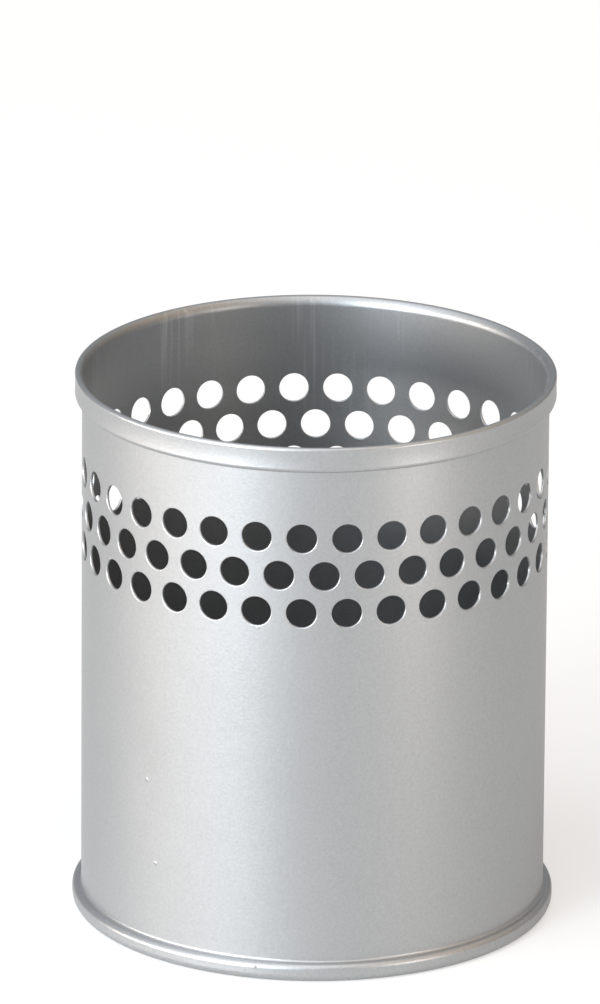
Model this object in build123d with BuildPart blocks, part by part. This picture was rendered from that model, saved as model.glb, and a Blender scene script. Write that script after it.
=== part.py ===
from build123d import *
from math import cos, pi, radians, sin
import os

os.makedirs("parts", exist_ok=True)

# Pen stand: a cup rolled from perforated steel sheet, standing on the XY plane with its axis on Z.
# The front of the cup faces -Y. All sizes are in millimetres.

# Sheet and overall size
height = 100.0
blank_length = 259.5
sheet = 0.5

# Punched holes: staggered rows at 60 degrees, below a plain band under the rim
hole_diameter = 5.3
hole_pitch = 8.0
hole_rows = 3
plain_band = 17.2
joint_angle = 172.55

# Rim: the wall leads out over a soft shoulder and is turned down outside in a waisted band
lead_bend = 1.8
lead_turn = 40.0
crest_bend = 0.35
corner_bend = 0.07
edge_bend = 0.3
band_height = 4.65
band_waist = 3.0
hem_gap = 0.25

# Foot: the wall steps out over a ledge into a round bead, and its edge is turned in underneath
bead_height = 3.4
step_fillet = 0.45
ledge_width = 0.15
bead_top_bend = 0.5
bead_foot_bend = 1.0
foot_lip = 2.0

# Base: a flat pan whose upturned rim is held in the bead
seat_gap = 0.05

# The sleeve's wall, measured from the blank's length at mid-thickness
mid_radius = blank_length / (2 * pi)
inner_radius = mid_radius - sheet / 2
outer_radius = mid_radius + sheet / 2

# The bead's outer face follows from the step, the ledge and the bend above it
bead_radius = outer_radius + step_fillet + ledge_width + bead_top_bend + sheet
foot_radius = bead_radius - bead_foot_bend - sheet
lip_radius = foot_radius - foot_lip

# The rim's band is a shallow hollow between its top corner and its lower edge
waist_drop = 1 + sin(radians(band_waist))
band_chord = band_height - (corner_bend + edge_bend + 2 * sheet) * waist_drop
band_radius = band_chord / (2 * sin(radians(band_waist)))
lead_sin = sin(radians(lead_turn))
lead_cos = cos(radians(lead_turn))
shoulder_rise = lead_bend * lead_sin + crest_bend * (1 - lead_sin) + sheet
shoulder_run = (lead_bend + sheet) * (1 - lead_cos) + (crest_bend + sheet) * lead_cos
edge_run = (corner_bend - edge_bend) * cos(radians(band_waist))
hem_end = shoulder_run + edge_run - sheet - hem_gap

# Angles of the hole pattern around the axis
pitch_angle = 360 * hole_pitch / blank_length
holes_per_row = int(blank_length // hole_pitch)
row_spacing = hole_pitch * sin(radians(60))
joint_side = Vector(1, 0, 0).rotate(Axis.Z, joint_angle)
joint_plane = Plane((0, 0, 0), x_dir=joint_side, z_dir=joint_side.cross(Vector(0, 0, 1)))


def sheet_face(depth):
    """One face of the bent sleeve sheet, from the turned-in foot to the rim's edge.

    A depth of zero is the face that lines the inside of the cup, and a depth of one
    sheet is the other face: both follow the same bends about the same centres.
    """
    lip = Line((lip_radius, sheet - depth), (foot_radius, sheet - depth))
    foot = JernArc(lip @ 1, lip % 1, bead_foot_bend + depth, 90)
    side = Line(foot @ 1, (bead_radius - sheet + depth, bead_height - sheet - bead_top_bend))
    brow = JernArc(side @ 1, side % 1, bead_top_bend + depth, 90)
    ledge = Line(brow @ 1, (outer_radius + step_fillet, bead_height - sheet + depth))
    step = JernArc(ledge @ 1, ledge % 1, step_fillet + sheet - depth, -90)
    wall = Line(step @ 1, (inner_radius + depth, height - shoulder_rise))
    lead = JernArc(wall @ 1, wall % 1, lead_bend + sheet - depth, -lead_turn)
    crest = JernArc(lead @ 1, lead % 1, crest_bend + sheet - depth, lead_turn - 90)
    corner = JernArc(crest @ 1, crest % 1, corner_bend + sheet - depth, -90 - band_waist)
    band = JernArc(corner @ 1, corner % 1, band_radius + depth, 2 * band_waist)
    edge = JernArc(band @ 1, band % 1, edge_bend + sheet - depth, -90 - band_waist)
    hem = Line(edge @ 1, edge @ 1 - (hem_end, 0))
    return lip @ 0, hem @ 1


# Sleeve: one strip of sheet rolled round, with its rim and its bead formed from the same strip
with BuildPart() as perforated_sleeve:
    with BuildSketch(joint_plane):
        with BuildLine():
            inside_start, inside_end = sheet_face(0)
            outside_start, outside_end = sheet_face(sheet)
            Line(inside_start, outside_start)
            Line(inside_end, outside_end)
        make_face()
    revolve(axis=Axis.Z)
    # Each second row starts half a pitch later, so every row keeps clear of the sheet's joint
    for row in range(hole_rows):
        row_height = height - plain_band - row * row_spacing
        first_hole = joint_angle + pitch_angle * (1 + row % 2) / 2
        with Locations((0, 0, row_height)):
            with PolarLocations(mid_radius, holes_per_row, first_hole, holes_per_row * pitch_angle):
                Cylinder(hole_diameter / 2, 6 * sheet, rotation=(0, 90, 0), mode=Mode.SUBTRACT)

# Base pan: its underside rests on the turned-in foot and its rim stands inside the bead
pan_radius = bead_radius - sheet - seat_gap
pan_bottom = sheet + seat_gap
pan_top = bead_height - sheet - bead_top_bend
pan_bend = bead_foot_bend - seat_gap
with BuildPart() as base_pan:
    with BuildSketch(Plane.XZ):
        with BuildLine():
            floor = Line((0, pan_bottom), (pan_radius - pan_bend, pan_bottom))
            outer_bend = JernArc(floor @ 1, floor % 1, pan_bend, 90)
            rim_face = Line(outer_bend @ 1, (pan_radius, pan_top))
            rim_edge = Line(rim_face @ 1, rim_face @ 1 - (sheet, 0))
            inner_face = Line(rim_edge @ 1, (pan_radius - sheet, pan_bottom + pan_bend))
            inner_bend = JernArc(inner_face @ 1, inner_face % 1, pan_bend - sheet, -90)
            tread = Line(inner_bend @ 1, (0, pan_bottom + sheet))
            Line(tread @ 1, floor @ 0)
        make_face()
    revolve(axis=Axis.Z)

perforated_sleeve.part.label = "perforated_sleeve"
export_step(perforated_sleeve.part, "parts/perforated_sleeve.step")
base_pan.part.label = "base_pan"
export_step(base_pan.part, "parts/base_pan.step")

print("rim diameter", round(2 * (inner_radius + shoulder_run + corner_bend + sheet), 2))
print("bead diameter", round(2 * bead_radius, 2))
print("holes in a row", holes_per_row, "at", round(pitch_angle, 3), "degrees")
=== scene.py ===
# %% [markdown]
# # A pen stand of perforated sheet steel
# The object is a round cup, 100 mm high, rolled from a strip of punched steel sheet and sprayed with
# satin silver paint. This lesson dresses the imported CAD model: it keeps the base pan as it is, rebuilds
# the sleeve as a finer sheet with rounded hole edges, and gives both a silver paint made from nodes.
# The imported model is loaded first, because every size and place below follows it.

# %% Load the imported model
import math

import bpy
import numpy as np
from mathutils import Matrix, Vector


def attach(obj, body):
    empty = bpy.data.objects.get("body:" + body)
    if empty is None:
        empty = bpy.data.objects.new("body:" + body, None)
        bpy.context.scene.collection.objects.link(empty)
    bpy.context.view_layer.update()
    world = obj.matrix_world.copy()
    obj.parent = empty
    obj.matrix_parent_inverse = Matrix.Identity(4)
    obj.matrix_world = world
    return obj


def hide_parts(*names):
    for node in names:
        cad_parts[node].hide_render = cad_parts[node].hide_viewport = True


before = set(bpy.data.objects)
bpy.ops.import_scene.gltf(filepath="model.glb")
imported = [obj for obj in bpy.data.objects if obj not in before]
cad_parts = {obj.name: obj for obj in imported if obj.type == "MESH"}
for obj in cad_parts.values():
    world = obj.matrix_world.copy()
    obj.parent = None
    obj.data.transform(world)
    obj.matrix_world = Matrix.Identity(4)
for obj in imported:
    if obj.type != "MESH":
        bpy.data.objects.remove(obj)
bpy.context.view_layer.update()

# %% [markdown]
# ## Camera
# The camera stands in front of the cup and looks down at it by about 19 degrees, from more than two
# metres away, so the perspective is slight. An Empty to aim at would be easier to drag about by hand,
# but the direction is known exactly here, so the camera's matrix is written from its three axes. A
# small roll turns the picture, as a hand-held camera does.

# %% Place the camera
CAMERA_DISTANCE = 2.2
CAMERA_HEIGHT = 0.8478
LOOK_DOWN = math.radians(19.3515)
LOOK_ASIDE = math.radians(-0.0694)
ROLL = math.radians(0.4300)
FOCAL_PIXELS = 13085.2
IMAGE_HEIGHT = 1004
SENSOR = 36.0
NEAREST, FARTHEST = 0.05, 50.0


def camera_matrix():
    """The camera's place and its right, up and backward axes."""
    ahead = Vector((
        math.sin(LOOK_ASIDE) * math.cos(LOOK_DOWN),
        math.cos(LOOK_ASIDE) * math.cos(LOOK_DOWN),
        -math.sin(LOOK_DOWN),
    ))
    level = Vector((math.cos(LOOK_ASIDE), -math.sin(LOOK_ASIDE), 0.0))
    upright = level.cross(ahead)
    right = math.cos(ROLL) * level + math.sin(ROLL) * upright
    up = math.cos(ROLL) * upright - math.sin(ROLL) * level
    axes = Matrix((right, up, -ahead)).transposed().to_4x4()
    return Matrix.Translation((0.0, -CAMERA_DISTANCE, CAMERA_HEIGHT)) @ axes


camera_data = bpy.data.cameras.new("camera")
camera_data.sensor_width = SENSOR
camera_data.lens = FOCAL_PIXELS * SENSOR / IMAGE_HEIGHT
camera_data.clip_start, camera_data.clip_end = NEAREST, FARTHEST
camera = bpy.data.objects.new("camera", camera_data)
camera.matrix_world = camera_matrix()
bpy.context.scene.collection.objects.link(camera)
bpy.context.scene.camera = camera
print("lens", round(camera_data.lens, 1), "mm")

# %% [markdown]
# ## The bent sheet, seen in section
# Rim, wall and foot of the sleeve are one strip of sheet, so its section is a line that runs straight
# and bends, like the track of a toy turtle. Revolving a drawn outline would give the same shape, but a
# track keeps the sheet equally thick in every bend, because both faces are offset from the same middle
# line. The sizes are those of the CAD model, in millimetres.

# %% Sizes of the sheet
MM = 0.001
HEIGHT = 100.0
BLANK_LENGTH = 259.5
SHEET = 0.5
HOLE_DIAMETER = 5.3
HOLE_PITCH = 8.0
HOLE_ROWS = 3
PLAIN_BAND = 17.2
JOINT_ANGLE = math.radians(172.55)

# The rim: a soft shoulder, and a waisted band turned down outside it
LEAD_BEND, LEAD_TURN = 1.8, 40.0
CREST_BEND, CORNER_BEND, EDGE_BEND = 0.35, 0.07, 0.3
BAND_HEIGHT, BAND_WAIST = 4.65, 3.0
HEM_GAP = 0.25

# The foot: a small ledge, a round bead, and an edge turned in underneath
BEAD_HEIGHT, STEP_FILLET, LEDGE_WIDTH = 3.4, 0.45, 0.15
BEAD_TOP_BEND, BEAD_FOOT_BEND, FOOT_LIP = 0.5, 1.0, 2.0

HALF = SHEET / 2
MID_RADIUS = BLANK_LENGTH / (2 * math.pi)
ROW_SPACING = HOLE_PITCH * math.sin(math.radians(60))
TOP_ROW = HEIGHT - PLAIN_BAND
BAND_TOP = TOP_ROW + ROW_SPACING / 2
BAND_BOTTOM = BAND_TOP - HOLE_ROWS * ROW_SPACING
print("wall radius", round(MID_RADIUS, 3), "mm")
print("holes between", round(BAND_BOTTOM, 2), "and", round(BAND_TOP, 2), "mm")

# %% Walk along a track
BEND_STEP = 15.0
LEAST_BEND_STEPS = 4


def follow(track, place, heading):
    """Walk straight runs and bends. Returns stations of radius, height, heading and way gone.

    A run has a length and a number of steps, and a bend has a radius and an angle in degrees.
    """
    radius, height = place
    gone = 0.0
    passed = [(radius, height, heading, gone)]
    for kind, size, amount in track:
        pieces = amount if kind == "run" else max(LEAST_BEND_STEPS, math.ceil(abs(amount) / BEND_STEP))
        turn = 0.0 if kind == "run" else math.radians(amount) / pieces
        side = math.copysign(1.0, turn)
        for _ in range(pieces):
            if kind == "run":
                radius += size / pieces * math.cos(heading)
                height += size / pieces * math.sin(heading)
                gone += size / pieces
            else:
                centre_radius = radius - side * size * math.sin(heading)
                centre_height = height + side * size * math.cos(heading)
                heading += turn
                radius = centre_radius + side * size * math.sin(heading)
                height = centre_height - side * size * math.cos(heading)
                gone += size * abs(turn)
            passed.append((radius, height, heading, gone))
    return np.array(passed)


print("a quarter bend takes", len(follow([("bend", 1.0, 90.0)], (1.0, 0.0), 0.0)) - 1, "steps")

# %% Trace the section
STEPS_PER_SIDE = 10
WALL_STEPS = 3
EDGE_ROUND = 0.1


def sleeve_track():
    """The track of the sheet's middle line, from the turned-in foot to the rim's hidden edge."""
    lead_sin = math.sin(math.radians(LEAD_TURN))
    lead_cos = math.cos(math.radians(LEAD_TURN))
    shoulder_rise = LEAD_BEND * lead_sin + CREST_BEND * (1 - lead_sin) + SHEET
    shoulder_run = (LEAD_BEND + SHEET) * (1 - lead_cos) + (CREST_BEND + SHEET) * lead_cos
    waist = math.radians(BAND_WAIST)
    band_chord = BAND_HEIGHT - (CORNER_BEND + EDGE_BEND + 2 * SHEET) * (1 + math.sin(waist))
    band_radius = band_chord / (2 * math.sin(waist))
    hem = shoulder_run + (CORNER_BEND - EDGE_BEND) * math.cos(waist) - SHEET - HEM_GAP
    wall_foot = BEAD_HEIGHT + STEP_FILLET
    wall_head = HEIGHT - shoulder_rise
    before = [
        ("run", EDGE_ROUND, 1),
        ("run", FOOT_LIP - EDGE_ROUND, 1),
        ("bend", BEAD_FOOT_BEND + HALF, 90.0),
        ("run", BEAD_HEIGHT - 2 * SHEET - BEAD_FOOT_BEND - BEAD_TOP_BEND, 1),
        ("bend", BEAD_TOP_BEND + HALF, 90.0),
        ("run", LEDGE_WIDTH, 1),
        ("bend", STEP_FILLET + HALF, -90.0),
        ("run", BAND_BOTTOM - wall_foot, WALL_STEPS),
    ]
    perforated = [("run", BAND_TOP - BAND_BOTTOM, HOLE_ROWS * STEPS_PER_SIDE)]
    after = [
        ("run", wall_head - BAND_TOP, 1),
        ("bend", LEAD_BEND + HALF, -LEAD_TURN),
        ("bend", CREST_BEND + HALF, LEAD_TURN - 90.0),
        ("bend", CORNER_BEND + HALF, -90.0 - BAND_WAIST),
        ("bend", band_radius + HALF, 2 * BAND_WAIST),
        ("bend", EDGE_BEND + HALF, -90.0 - BAND_WAIST),
        ("run", hem - EDGE_ROUND, 1),
        ("run", EDGE_ROUND, 1),
    ]
    return before, perforated, after


bead_radius = MID_RADIUS + HALF + STEP_FILLET + LEDGE_WIDTH + BEAD_TOP_BEND + SHEET
lip_radius = bead_radius - BEAD_FOOT_BEND - SHEET - FOOT_LIP
before, perforated, after = sleeve_track()
start = (lip_radius, HALF)
band_start = len(follow(before, start, 0.0)) - 1
stations = follow(before + perforated + after, start, 0.0)
print(len(stations), "stations, top at", round(float((stations[:, 1] + HALF).max()), 3), "mm")

# %% [markdown]
# ## Rolling the strip
# The strip closes at a little under 32 and a half pitches, so each row has 32 holes and one wider land
# where the two ends meet. A Boolean cut of 96 cylinders would leave sharp rims and long thin faces that
# shade badly. Here the strip is planned flat, as it is punched, on a grid that has room for a square
# cell round every hole, and the flat plan is then wrapped round the axis. Every point carries the exact
# normal of the surface, so the reflections run clean past the holes.

# %% Columns of the strip
JOINT_GAP = 0.02
cell_step = HOLE_PITCH / STEPS_PER_SIDE
inner_columns = np.arange(1, round(BLANK_LENGTH / cell_step)) * cell_step
columns = np.concatenate((
    [JOINT_GAP / 2, JOINT_GAP / 2 + EDGE_ROUND],
    inner_columns,
    [BLANK_LENGTH - JOINT_GAP / 2 - EDGE_ROUND, BLANK_LENGTH - JOINT_GAP / 2],
))
UPWARD = np.array((0.0, 0.0, 1.0))


def wrap(along, radius, height):
    """Wrap points of the flat strip round the axis."""
    angle = JOINT_ANGLE + along / MID_RADIUS
    return np.stack((radius * np.cos(angle), radius * np.sin(angle), height + 0 * angle), axis=-1)


def directions(along):
    """Outward and sideways unit vectors on the rolled strip."""
    angle = JOINT_ANGLE + along / MID_RADIUS
    outward = np.stack((np.cos(angle), np.sin(angle), 0 * angle), axis=-1)
    sideways = np.stack((-np.sin(angle), np.cos(angle), 0 * angle), axis=-1)
    return outward, sideways


print(len(columns), "columns round the cup")

# %% Both faces of the sheet as grids
def unit(vectors):
    """The same directions, each with a length of 1."""
    return vectors / np.linalg.norm(vectors, axis=-1, keepdims=True)


def sheet_grids():
    """Points and normals of the outer and inner face, by station and column."""
    radius, height, heading, _ = stations.T[:, :, None]
    end_way = np.zeros((len(stations), 1, 1))
    end_way[0], end_way[-1] = -1.0, 1.0
    joint_way = np.zeros((1, len(columns), 1))
    joint_way[0, 0], joint_way[0, -1] = -1.0, 1.0
    at_edge = (end_way != 0) | (joint_way != 0)
    half = np.where(at_edge, HALF - EDGE_ROUND, HALF)
    outward, sideways = (d[None] for d in directions(columns))
    normal = np.sin(heading)[..., None] * outward - np.cos(heading)[..., None] * UPWARD
    forward = np.cos(heading)[..., None] * outward + np.sin(heading)[..., None] * UPWARD
    tilt = end_way * forward + joint_way * sideways
    middle = wrap(columns[None] + 0 * radius, radius, height)
    grids = []
    for face in (1.0, -1.0):
        grids.append((middle + face * half * normal, unit(face * normal + tilt)))
    return grids


def outer_id(station, column):
    """The number of a grid point on the outer face. The inner face's point comes one GRID later."""
    return station * len(columns) + column


(outer_points, outer_normals), (inner_points, inner_normals) = sheet_grids()
GRID = len(stations) * len(columns)
points = [outer_points.reshape(-1, 3), inner_points.reshape(-1, 3)]
normals = [outer_normals.reshape(-1, 3), inner_normals.reshape(-1, 3)]
flat_plan = np.stack(np.broadcast_arrays(columns[None], stations[:, 3:4]), axis=-1).reshape(-1, 2)
plans = [flat_plan, flat_plan]
quads = {"outer": [], "inner": []}
print("grid points on each face:", GRID)

# %% [markdown]
# ## Punched holes
# A punch rounds the edge of a hole where it goes in, and a little less where it comes out, and each
# rounded edge catches a thin line of light. A Bevel modifier could round them later, but it would not
# know the sheet's exact normals. So every hole is built in its square cell of the grid from rings of
# faces, which go from the cell's border to the round hole, over a rounded lip, through the thickness
# and out again.

# %% Rings round a hole
HOLE_ROUND_OUT = 0.2
HOLE_ROUND_IN = 0.12
RING_STEPS = 4
BLENDS = (0.45, 0.85)
ring_count = 4 * STEPS_PER_SIDE
ring_angles = math.radians(-135) + np.arange(ring_count) * 2 * math.pi / ring_count
ring_way = np.stack((np.cos(ring_angles), np.sin(ring_angles)), axis=-1)


def cell_border(first_station, first_column):
    """Grid places round a cell, anticlockwise from its lower left corner, seen from outside."""
    n = STEPS_PER_SIDE
    lower = [(first_station, first_column + k) for k in range(n)]
    right = [(first_station + k, first_column + n) for k in range(n)]
    upper = [(first_station + n, first_column + n - k) for k in range(n)]
    left = [(first_station + n - k, first_column) for k in range(n)]
    return np.array([outer_id(s, c) for s, c in lower + right + upper + left])


def cell_rings(border_plan, centre):
    """Rings from the outer face through the hole to the inner face.

    Each has its plan, its depth, the tilt of its normal, the sign of its face, and how far the lip's
    curve goes beyond the plan on the flat map.
    """
    rings = []
    for face, round_size in ((1.0, HOLE_ROUND_OUT), (-1.0, HOLE_ROUND_IN)):
        rim = centre + ring_way * (HOLE_DIAMETER / 2 + round_size)
        side = [(border_plan + (rim - border_plan) * t, face * HALF, 0.0, face, 0.0) for t in BLENDS]
        for turn in np.linspace(0.0, math.pi / 2, RING_STEPS + 1):
            reach = HOLE_DIAMETER / 2 + round_size * (1 - math.sin(turn))
            depth = HALF - round_size * (1 - math.cos(turn))
            beyond = round_size * (turn - math.sin(turn))
            side.append((centre + ring_way * reach, face * depth, turn, face, beyond))
        rings.append(side)
    return rings[0] + rings[1][::-1]


print(2 * (len(BLENDS) + RING_STEPS + 1), "rings of", ring_count, "points for a hole")

# %% Punch the rows
def add_cell(first_station, first_column, centre):
    """One hole with its square of sheet."""
    border = cell_border(first_station, first_column)
    loops = [border]
    sides = ["outer"] * (len(BLENDS) + RING_STEPS + 1) + ["inner"] * (len(BLENDS) + RING_STEPS + 2)
    for plan, depth, turn, face, beyond in cell_rings(flat_plan[border], centre):
        outward, sideways = directions(plan[:, 0])
        away = ring_way[:, :1] * sideways + ring_way[:, 1:] * UPWARD
        height = plan[:, 1] - stations[band_start, 3] + BAND_BOTTOM
        first = sum(len(block) for block in points)
        points.append(wrap(plan[:, 0], MID_RADIUS + depth, height))
        normals.append(face * math.cos(turn) * outward - math.sin(turn) * away)
        plans.append(plan - ring_way * beyond)
        loops.append(np.arange(first, first + ring_count))
    loops.append(border + GRID)
    for side, a, b in zip(sides, loops[:-1], loops[1:]):
        quads[side].append(np.stack((a, np.roll(a, -1), np.roll(b, -1), b), axis=1))


in_cell = np.zeros((len(stations) - 1, len(columns) - 1), bool)
holes_per_row = int(BLANK_LENGTH // HOLE_PITCH)
for row in range(HOLE_ROWS):
    first_station = band_start + row * STEPS_PER_SIDE
    offset = 1 + (row % 2) * STEPS_PER_SIDE // 2
    height_gone = stations[first_station, 3] + ROW_SPACING / 2
    for hole in range(holes_per_row):
        first_column = offset + hole * STEPS_PER_SIDE
        centre = np.array((HOLE_PITCH * (hole + 0.5 + 0.5 * (row % 2)), height_gone))
        add_cell(first_station, first_column, centre)
        up = slice(first_station, first_station + STEPS_PER_SIDE)
        along = slice(first_column, first_column + STEPS_PER_SIDE)
        in_cell[up, along] = True
print(HOLE_ROWS * holes_per_row, "holes punched")

# %% [markdown]
# ## Closing the sheet
# The plain sheet between the holes and the strip's four cut edges close the surface. A Solidify
# modifier could give the thickness, but it would leave the lips of the holes sharp. The texture map is
# the flat plan of the strip itself, with the outer face below and the inner face above it: a sheet that
# was once flat needs no unwrapping, and hardly anything on it is stretched.

# %% Plain faces and edges
def grid_quads():
    """Quads of the plain sheet, where no hole's cell lies, on both faces."""
    station, column = np.nonzero(~in_cell)
    a = outer_id(station, column)
    b, c, d = a + 1, a + 1 + len(columns), a + len(columns)
    return np.stack((a, b, c, d), axis=1), np.stack((d, c, b, a), axis=1) + GRID


def edge_quads():
    """Quads across the thickness along the strip's four edges, and the way that each edge faces."""
    last_station, last_column = len(stations) - 1, len(columns) - 1
    along, up = np.arange(last_column), np.arange(last_station)
    edges = (
        (outer_id(0, along + 1), outer_id(0, along), (0.0, -1.0)),
        (outer_id(last_station, along), outer_id(last_station, along + 1), (0.0, 1.0)),
        (outer_id(up, 0), outer_id(up + 1, 0), (-1.0, 0.0)),
        (outer_id(up + 1, last_column), outer_id(up, last_column), (1.0, 0.0)),
    )
    across = np.concatenate([np.stack((a, b, b + GRID, a + GRID), axis=1) for a, b, _ in edges])
    ways = np.concatenate([np.tile(way, (len(a), 1)) for a, _, way in edges])
    return across, ways


plain_outer, plain_inner = grid_quads()
outer = np.concatenate(quads["outer"] + [plain_outer])
inner = np.concatenate(quads["inner"] + [plain_inner])
edges, edge_ways = edge_quads()
print(len(outer), "outer,", len(inner), "inner and", len(edges), "edge faces")

# %% The finished mesh
MAP_MARGIN = 2 * SHEET


def strip_map():
    """Where each corner of each face lies on the map of the flat strip, which is 1 wide."""
    plan = np.concatenate(plans)
    outer_places, inner_places, edge_places = plan[outer], plan[inner], plan[edges]
    inner_places[..., 1] += stations[-1, 3] + MAP_MARGIN
    edge_places[:, 2:] += SHEET * edge_ways[:, None]
    places = np.concatenate((outer_places, inner_places, edge_places))
    return (places + MAP_MARGIN) / (BLANK_LENGTH + 2 * MAP_MARGIN)


def sheet_mesh(name):
    """Join all faces into one mesh with its exact normals and the map of the flat strip."""
    place, way = np.concatenate(points), np.concatenate(normals)
    used, faces = np.unique(np.concatenate((outer, inner, edges)), return_inverse=True)
    mesh = bpy.data.meshes.new(name)
    mesh.from_pydata((place[used] * MM).tolist(), [], faces.reshape(-1, 4).tolist())
    mesh.shade_smooth()
    mesh.normals_split_custom_set_from_vertices(unit(way[used]).tolist())
    mesh.uv_layers.new(name="OFBake").data.foreach_set("uv", strip_map().astype(np.float32).ravel())
    return mesh


sleeve = bpy.data.objects.new("rolled_sleeve", sheet_mesh("rolled_sleeve"))
bpy.context.scene.collection.objects.link(sleeve)
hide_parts("perforated_sleeve")
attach(sleeve, "root")
print("sleeve:", len(sleeve.data.vertices), "points and", len(sleeve.data.polygons), "faces")

# %% [markdown]
# ## Base pan
# The base is a flat round pan whose upturned rim is held in the bead. It could be traced and revolved
# like the sleeve, but little of it is seen, deep inside the cup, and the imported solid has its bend
# already. So the solid is kept as it is and only gets paint.

# %% Keep the base pan
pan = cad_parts["base_pan"]
print("base pan:", len(pan.data.vertices), "points")

# %% [markdown]
# ## Silver paint
# The finish is a satin silver paint: very fine metal flakes lie nearly flat in a clear binder, so the
# cup shines like metal, but broadly and softly. One metal shader with a plain colour would look like
# plastic foil, and a painted texture would need a picture file. Here node groups add what the real coat
# has, and a painted shade for the inside of the cup. Each is made once and placed in both paints, and two
# small helpers keep the making of nodes short.

# %% Node helpers
def add_node(tree, kind, **values):
    """Add a node and set its plain inputs and settings by name."""
    made = tree.nodes.new(kind)
    for key, value in values.items():
        if key in made.inputs:
            made.inputs[key].default_value = value
        else:
            setattr(made, key, value)
    return made


def new_group(name, inputs, outputs):
    """A shader node group with number inputs and outputs. Returns it with its two end nodes."""
    group = bpy.data.node_groups.new(name, "ShaderNodeTree")
    for label, value in inputs.items():
        socket = group.interface.new_socket(label, in_out="INPUT", socket_type="NodeSocketFloat")
        socket.default_value = value
    for label in outputs:
        group.interface.new_socket(label, in_out="OUTPUT", socket_type="NodeSocketFloat")
    return group, group.nodes.new("NodeGroupInput"), group.nodes.new("NodeGroupOutput")


print("node helpers ready")

# %% [markdown]
# ## Flakes
# Close up, each flake is a little lighter or darker than the next, and flakes that lie together make
# soft clouds. A White Noise node has no grain size, so it would average out to plain grey. A Voronoi
# texture gives every flake one shade of its own, and a Noise texture gives the clouds. Both use the
# object's own coordinates, so they stay in place from every side.

# %% Flake group
def flake_group():
    """Flakes that differ in shade, and the soft mottle of flakes that lie together."""
    given_values = {"Scale": 9000.0, "Spread": 0.1, "Mottle Scale": 2000.0, "Mottle": 0.1}
    group, given, made = new_group("paint_flakes", given_values, ("Shade",))
    link = group.links.new
    where = add_node(group, "ShaderNodeTexCoord")
    cells = add_node(group, "ShaderNodeTexVoronoi", feature="F1", Randomness=1.0)
    parts = add_node(group, "ShaderNodeSeparateColor")
    link(cells.outputs["Color"], parts.inputs["Color"])
    mottle = add_node(group, "ShaderNodeTexNoise", Detail=1.0, Roughness=0.6)
    shade = None
    for node, found, scale, amount in (
        (cells, parts.outputs["Red"], "Scale", "Spread"),
        (mottle, mottle.outputs["Fac"], "Mottle Scale", "Mottle"),
    ):
        link(where.outputs["Object"], node.inputs["Vector"])
        link(given.outputs[scale], node.inputs["Scale"])
        centred = add_node(group, "ShaderNodeMath", operation="SUBTRACT")
        link(found, centred.inputs[0])
        centred.inputs[1].default_value = 0.5
        added = add_node(group, "ShaderNodeMath", operation="MULTIPLY_ADD")
        link(centred.outputs["Value"], added.inputs[0])
        link(given.outputs[amount], added.inputs[1])
        if shade is None:
            added.inputs[2].default_value = 1.0
        else:
            link(shade, added.inputs[2])
        shade = added.outputs["Value"]
    link(shade, made.inputs["Shade"])
    return group


flakes = flake_group()
print("group", flakes.name)

# %% [markdown]
# ## Sprayed coat
# A spray gun leaves a coat that is nearly even. Its gloss drifts slowly, its surface has a fine orange
# peel, and here and there it holds a nib, which is a grain of dust under the paint. These could be
# raised in the mesh, but they are only about a tenth of a millimetre high or less, so the group gives
# masks for the roughness and for two Bump nodes.

# %% Spray group
def spray_group():
    """Slow drifts of the coat, its fine orange peel, and a few nibs: grains of dust under the paint."""
    given_values = {"Drift": 60.0, "Peel": 2200.0, "Nibs": 110.0, "Nib Size": 0.048}
    group, given, made = new_group("spray_coat", given_values, ("Drift", "Peel", "Nibs"))
    link = group.links.new
    where = add_node(group, "ShaderNodeTexCoord")
    drift = add_node(group, "ShaderNodeTexNoise", Detail=3.0, Roughness=0.6)
    peel = add_node(group, "ShaderNodeTexNoise", Detail=1.0, Roughness=0.5)
    grains = add_node(group, "ShaderNodeTexVoronoi", feature="F1", Randomness=1.0)
    for node, label in ((drift, "Drift"), (peel, "Peel"), (grains, "Nibs")):
        link(where.outputs["Object"], node.inputs["Vector"])
        link(given.outputs[label], node.inputs["Scale"])
    link(drift.outputs["Fac"], made.inputs["Drift"])
    link(peel.outputs["Fac"], made.inputs["Peel"])
    nib = add_node(group, "ShaderNodeMapRange", interpolation_type="SMOOTHSTEP")
    nib.inputs["To Min"].default_value = 1.0
    nib.inputs["To Max"].default_value = 0.0
    link(grains.outputs["Distance"], nib.inputs["Value"])
    link(given.outputs["Nib Size"], nib.inputs["From Max"])
    link(nib.outputs["Result"], made.inputs["Nibs"])
    return group


spray = spray_group()
print("group", spray.name)
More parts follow.
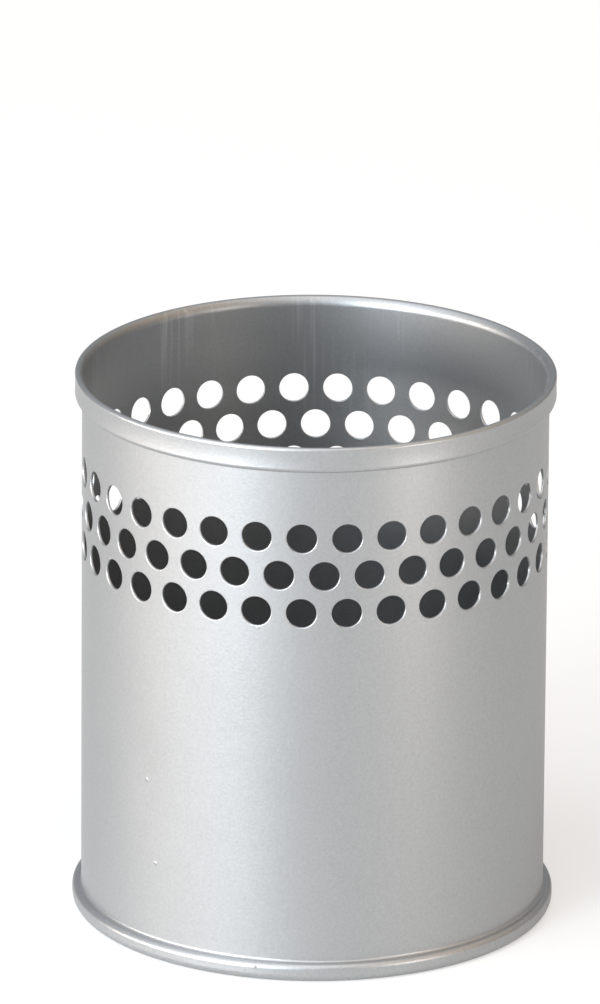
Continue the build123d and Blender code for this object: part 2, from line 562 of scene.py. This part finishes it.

# %% [markdown]
# ## Inside of the cup
# The inside of a deep cup gets less light, so its paint is darkened there as a painted shade, and use
# leaves pale upright scuffs there below the rim. A second material for the inner face would end in a hard
# line round every hole. Instead, one group gives a mask of the faces that look towards the axis, which
# changes softly over the rounded edges. Another gives the scuffs: two noises drawn out along the height,
# one for thin streaks and one for the patches they stand in.

# %% Inside mask
def inner_face_group():
    """1 where a face looks towards the cup's axis, and 0 where it looks up or away."""
    group, _, made = new_group("inner_face", {}, ("Inside",))
    link = group.links.new
    where = add_node(group, "ShaderNodeTexCoord")
    level = add_node(group, "ShaderNodeVectorMath", operation="MULTIPLY")
    level.inputs[1].default_value = (1.0, 1.0, 0.0)
    link(where.outputs["Object"], level.inputs[0])
    spoke = add_node(group, "ShaderNodeVectorMath", operation="NORMALIZE")
    link(level.outputs["Vector"], spoke.inputs[0])
    away = add_node(group, "ShaderNodeVectorMath", operation="DOT_PRODUCT")
    link(spoke.outputs["Vector"], away.inputs[0])
    link(where.outputs["Normal"], away.inputs[1])
    inward = add_node(group, "ShaderNodeMath", operation="MULTIPLY", use_clamp=True)
    link(away.outputs["Value"], inward.inputs[0])
    inward.inputs[1].default_value = -1.0
    link(inward.outputs["Value"], made.inputs["Inside"])
    return group


inner_face = inner_face_group()
print("group", inner_face.name)

# %% Scuff group
# The share of height that each noise keeps, and the levels between which it comes up
SCUFF_NOISES = (
    {"label": "Streaks", "height_share": 0.03, "low": 0.54, "high": 0.7},
    {"label": "Patches", "height_share": 0.4, "low": 0.54, "high": 0.64},
)


def scuff_group():
    """Thin upright scuffs that stand in patches and fade out downwards, as use leaves them."""
    given_values = {"Streaks": 1100.0, "Patches": 55.0, "Low": 0.07, "High": 0.092}
    group, given, made = new_group("rim_scuffs", given_values, ("Scuff",))
    link = group.links.new
    where = add_node(group, "ShaderNodeTexCoord")
    height = add_node(group, "ShaderNodeSeparateXYZ")
    link(where.outputs["Object"], height.inputs["Vector"])
    reach = add_node(group, "ShaderNodeMapRange")
    link(height.outputs["Z"], reach.inputs["Value"])
    link(given.outputs["Low"], reach.inputs["From Min"])
    link(given.outputs["High"], reach.inputs["From Max"])
    mask = reach.outputs["Result"]
    for layer in SCUFF_NOISES:
        drawn_out = add_node(group, "ShaderNodeVectorMath", operation="MULTIPLY")
        drawn_out.inputs[1].default_value = (1.0, 1.0, layer["height_share"])
        link(where.outputs["Object"], drawn_out.inputs[0])
        noise = add_node(group, "ShaderNodeTexNoise", Detail=1.0)
        link(drawn_out.outputs["Vector"], noise.inputs["Vector"])
        link(given.outputs[layer["label"]], noise.inputs["Scale"])
        found = add_node(group, "ShaderNodeMapRange")
        found.inputs["From Min"].default_value = layer["low"]
        found.inputs["From Max"].default_value = layer["high"]
        link(noise.outputs["Fac"], found.inputs["Value"])
        both = add_node(group, "ShaderNodeMath", operation="MULTIPLY")
        link(mask, both.inputs[0])
        link(found.outputs["Result"], both.inputs[1])
        mask = both.outputs["Value"]
    link(mask, made.inputs["Scuff"])
    return group


scuffs = scuff_group()
print("group", scuffs.name)

# %% [markdown]
# ## Two paints
# The sleeve and the base pan carry the same silver, a little duller on the pan, and darker there as a
# painted shade, since the pan is the floor deep in the cup. Two materials wired by hand would drift apart
# when one is changed, so one function makes both from the same groups. The paint is nearly all metal, and
# the small share that isn't gives it some plain colour in the shade below the rim.

# %% Shade of the paint
FLAKE_SPREAD, FLAKE_MOTTLE = 0.07, 0.22
# A painted shade: the inside of the cup is darkened by this share, because it gets less light.
INSIDE_PAINTED_SHADE = 0.15
SCUFF_SHINE = 0.28


def paint_shade(tree):
    """How light the paint is: its flakes, a painted shade on the inside of the cup, and scuffs there that
    shine.
    """
    link = tree.links.new
    flake = add_node(tree, "ShaderNodeGroup", node_tree=flakes)
    flake.inputs["Spread"].default_value = FLAKE_SPREAD
    flake.inputs["Mottle"].default_value = FLAKE_MOTTLE
    inside = add_node(tree, "ShaderNodeGroup", node_tree=inner_face)
    scuff = add_node(tree, "ShaderNodeGroup", node_tree=scuffs)
    # The scuffs lighten the inside, and the painted shade darkens it.
    scuff_and_painted_shade = add_node(tree, "ShaderNodeMath", operation="MULTIPLY_ADD")
    link(scuff.outputs["Scuff"], scuff_and_painted_shade.inputs[0])
    scuff_and_painted_shade.inputs[1].default_value = SCUFF_SHINE
    scuff_and_painted_shade.inputs[2].default_value = -INSIDE_PAINTED_SHADE
    inside_scuff_and_shade = add_node(tree, "ShaderNodeMath", operation="MULTIPLY_ADD")
    link(scuff_and_painted_shade.outputs["Value"], inside_scuff_and_shade.inputs[0])
    link(inside.outputs["Inside"], inside_scuff_and_shade.inputs[1])
    inside_scuff_and_shade.inputs[2].default_value = 1.0
    shade = add_node(tree, "ShaderNodeMath", operation="MULTIPLY")
    link(flake.outputs["Shade"], shade.inputs[0])
    link(inside_scuff_and_shade.outputs["Value"], shade.inputs[1])
    return shade.outputs["Value"]


# The darker inside is a painted shade.
print("inside the cup the coat is", round(100 * INSIDE_PAINTED_SHADE), "percent darker")

# %% Paint the pieces
PAINT_COLOUR = (0.49, 0.5, 0.51)
PAINT_METAL = 0.92
SLEEVE_ROUGHNESS, PAN_ROUGHNESS = 0.4, 0.43
ROUGHNESS_DRIFT = 0.03
PEEL_STRENGTH, PEEL_HEIGHT = 0.14, 0.0001
NIB_STRENGTH, NIB_HEIGHT = 0.8, 0.00012


def silver_paint(name, colour, roughness):
    """Satin silver paint over sheet steel."""
    material = bpy.data.materials.new(name)
    material.use_nodes = True
    tree = material.node_tree
    link = tree.links.new
    shader = tree.nodes["Principled BSDF"]
    shader.inputs["Metallic"].default_value = PAINT_METAL
    tint = add_node(tree, "ShaderNodeVectorMath", operation="SCALE")
    tint.inputs[0].default_value = colour
    link(paint_shade(tree), tint.inputs["Scale"])
    link(tint.outputs["Vector"], shader.inputs["Base Color"])
    coat = add_node(tree, "ShaderNodeGroup", node_tree=spray)
    rough = add_node(tree, "ShaderNodeMapRange")
    rough.inputs["To Min"].default_value = roughness - ROUGHNESS_DRIFT
    rough.inputs["To Max"].default_value = roughness + ROUGHNESS_DRIFT
    link(coat.outputs["Drift"], rough.inputs["Value"])
    link(rough.outputs["Result"], shader.inputs["Roughness"])
    peel = add_node(tree, "ShaderNodeBump", Strength=PEEL_STRENGTH, Distance=PEEL_HEIGHT)
    link(coat.outputs["Peel"], peel.inputs["Height"])
    nibs = add_node(tree, "ShaderNodeBump", Strength=NIB_STRENGTH, Distance=NIB_HEIGHT)
    link(coat.outputs["Nibs"], nibs.inputs["Height"])
    link(peel.outputs["Normal"], nibs.inputs["Normal"])
    link(nibs.outputs["Normal"], shader.inputs["Normal"])
    return material


# The pan, the floor deep in the cup, takes the same painted shade as the inside of the sleeve.
pan_painted_shade_colour = [channel * (1 - INSIDE_PAINTED_SHADE) for channel in PAINT_COLOUR]
sleeve.data.materials.append(silver_paint("silver_paint_sleeve", PAINT_COLOUR, SLEEVE_ROUGHNESS))
pan.data.materials.clear()
pan.data.materials.append(silver_paint("silver_paint_base", pan_painted_shade_colour, PAN_ROUGHNESS))
print("materials:", [m.name for m in bpy.data.materials])

# %% [markdown]
# ## Table
# The cup stands on a plain pale table that fades to white. A plane that only glows would be white too,
# but it could hold no shadow. So the table is matt, and a Light Path node lifts it where the camera
# sees it, and a little in reflections, so that the metal shows pale surroundings as well. It can't be
# seen from below, so the underside of the cup can.

# %% Floor
FLOOR_HALF = 3.0
FLOOR_DROP = 0.00002
FLOOR_COLOUR = (0.6, 0.6, 0.595, 1.0)
REFLECTION_LIFT = 0.2
CAMERA_LIFT = 0.48


def lift_by_ray(tree, camera_lift):
    """An extra brightness where the camera looks straight at something, and a little in reflections."""
    ray = add_node(tree, "ShaderNodeLightPath")
    total = add_node(tree, "ShaderNodeMath", operation="MULTIPLY")
    tree.links.new(ray.outputs["Is Camera Ray"], total.inputs[0])
    total.inputs[1].default_value = camera_lift
    for kind in ("Is Glossy Ray", "Is Transmission Ray"):
        added = add_node(tree, "ShaderNodeMath", operation="MULTIPLY_ADD")
        tree.links.new(ray.outputs[kind], added.inputs[0])
        added.inputs[1].default_value = REFLECTION_LIFT
        tree.links.new(total.outputs["Value"], added.inputs[2])
        total = added
    return total.outputs["Value"]


def floor_material():
    """A pale table, lifted for the camera and a little for reflections, and unseen from below."""
    material = bpy.data.materials.new("pale_table")
    material.use_nodes = True
    tree = material.node_tree
    link = tree.links.new
    tree.nodes.clear()
    out = add_node(tree, "ShaderNodeOutputMaterial")
    matt = add_node(tree, "ShaderNodeBsdfDiffuse", Color=FLOOR_COLOUR)
    glow = add_node(tree, "ShaderNodeEmission", Color=(1.0, 1.0, 1.0, 1.0))
    link(lift_by_ray(tree, CAMERA_LIFT), glow.inputs["Strength"])
    both = add_node(tree, "ShaderNodeAddShader")
    link(matt.outputs["BSDF"], both.inputs[0])
    link(glow.outputs["Emission"], both.inputs[1])
    below = add_node(tree, "ShaderNodeBsdfTransparent")
    side = add_node(tree, "ShaderNodeNewGeometry")
    choose = add_node(tree, "ShaderNodeMixShader")
    link(side.outputs["Backfacing"], choose.inputs["Fac"])
    link(both.outputs["Shader"], choose.inputs[1])
    link(below.outputs["BSDF"], choose.inputs[2])
    link(choose.outputs["Shader"], out.inputs["Surface"])
    return material


quarters = ((-1, -1), (1, -1), (1, 1), (-1, 1))
corners = [(x * FLOOR_HALF, y * FLOOR_HALF, -FLOOR_DROP) for x, y in quarters]
floor_mesh = bpy.data.meshes.new("floor")
floor_mesh.from_pydata(corners, [], [(0, 1, 2, 3)])
floor_mesh.materials.append(floor_material())
floor = bpy.data.objects.new("floor", floor_mesh)
bpy.context.scene.collection.objects.link(floor)
print("floor", 2 * FLOOR_HALF, "m wide")

# %% [markdown]
# ## Lamps
# A bright window at the front left makes the wall's long highlight, two low strips beside it light the
# left flank, and a small card at the right lifts the other side. Point lamps would make hard spots on
# satin paint. Area lamps show in it as broad soft bands, and together with the sky they light a white
# surface to about white, so the paint's colour renders about as it is written.

# %% Lamps
def panel(name, azimuth, away, size, power, colour, height=None, aim=None):
    """An upright soft panel that faces the cup. Azimuth 0 is the camera's side, and 90 is its right."""
    data = bpy.data.lights.new(name, "AREA")
    data.shape = "RECTANGLE"
    data.size, data.size_y = size
    data.energy = power
    data.color = colour
    lamp = bpy.data.objects.new(name, data)
    centre = size[1] / 2 if height is None else height
    turn = math.radians(azimuth)
    lamp.location = (away * math.sin(turn), -away * math.cos(turn), centre)
    target = Vector((0.0, 0.0, centre if aim is None else aim))
    lamp.rotation_euler = (lamp.location - target).to_track_quat("Z", "Y").to_euler()
    lamp.visible_camera = False
    bpy.context.scene.collection.objects.link(lamp)


panel("window_front", azimuth=-35, away=2.5, size=(0.8, 1.5), power=42.5, colour=(0.87, 1.0, 1.12))
panel("strip_left", azimuth=-50, away=2.5, size=(1.6, 0.5), power=21.0, colour=(1.06, 1.0, 0.94))
panel("strip_side", azimuth=-80, away=2.5, size=(1.6, 0.5), power=26.0, colour=(1.1, 1.0, 0.9))
panel(
    "card_right", azimuth=46, away=0.5, size=(0.12, 0.2), power=0.4, colour=(1.08, 1.0, 0.92),
    height=0.12, aim=0.05,
)

# %% [markdown]
# ## Sky
# The rest of the light is soft and comes from above: bluish overhead, brightest at the front left, and
# warm at the right. A photographed sky would need a picture file. Here each glow is worked out from the
# angle between a direction and the glow's middle, as the cosine raised to a power. The camera sees
# plain white behind the cup.

# %% World
SKY_SEEN = 1.0
GLOWS = (
    {"azimuth": 0, "elevation": 90, "sharpness": 1.0, "strength": 0.36, "colour": (0.9, 1.0, 1.13)},
    {"azimuth": -42, "elevation": 55, "sharpness": 4.0, "strength": 1.5, "colour": (1.0, 1.0, 1.0)},
    {"azimuth": 75, "elevation": 45, "sharpness": 4.0, "strength": 0.25, "colour": (1.8, 1.0, 0.2)},
)


def sky_colour(tree):
    """Soft glows about some directions, added to plain white where the camera sees the sky itself."""
    link = tree.links.new
    way = add_node(tree, "ShaderNodeTexCoord")
    sky = lift_by_ray(tree, SKY_SEEN)
    for glow in GLOWS:
        turn, rise = math.radians(glow["azimuth"]), math.radians(glow["elevation"])
        level = math.cos(rise)
        middle = (math.sin(turn) * level, -math.cos(turn) * level, math.sin(rise))
        towards = add_node(tree, "ShaderNodeVectorMath", operation="DOT_PRODUCT")
        towards.inputs[1].default_value = middle
        link(way.outputs["Generated"], towards.inputs[0])
        facing = add_node(tree, "ShaderNodeMath", operation="MAXIMUM")
        link(towards.outputs["Value"], facing.inputs[0])
        facing.inputs[1].default_value = 0.0
        lobe = add_node(tree, "ShaderNodeMath", operation="POWER")
        link(facing.outputs["Value"], lobe.inputs[0])
        lobe.inputs[1].default_value = glow["sharpness"]
        added = add_node(tree, "ShaderNodeVectorMath", operation="MULTIPLY_ADD")
        link(lobe.outputs["Value"], added.inputs[0])
        added.inputs[1].default_value = [glow["strength"] * channel for channel in glow["colour"]]
        link(sky, added.inputs[2])
        sky = added.outputs["Vector"]
    return sky


world = bpy.data.worlds.new("studio")
world.use_nodes = True
bpy.context.scene.world = world
background = world.node_tree.nodes["Background"]
background.inputs["Strength"].default_value = 1.0
world.node_tree.links.new(sky_colour(world.node_tree), background.inputs["Color"])
bpy.context.scene.view_settings.view_transform = "Standard"
print("world:", world.name, "with", len(GLOWS), "glows")
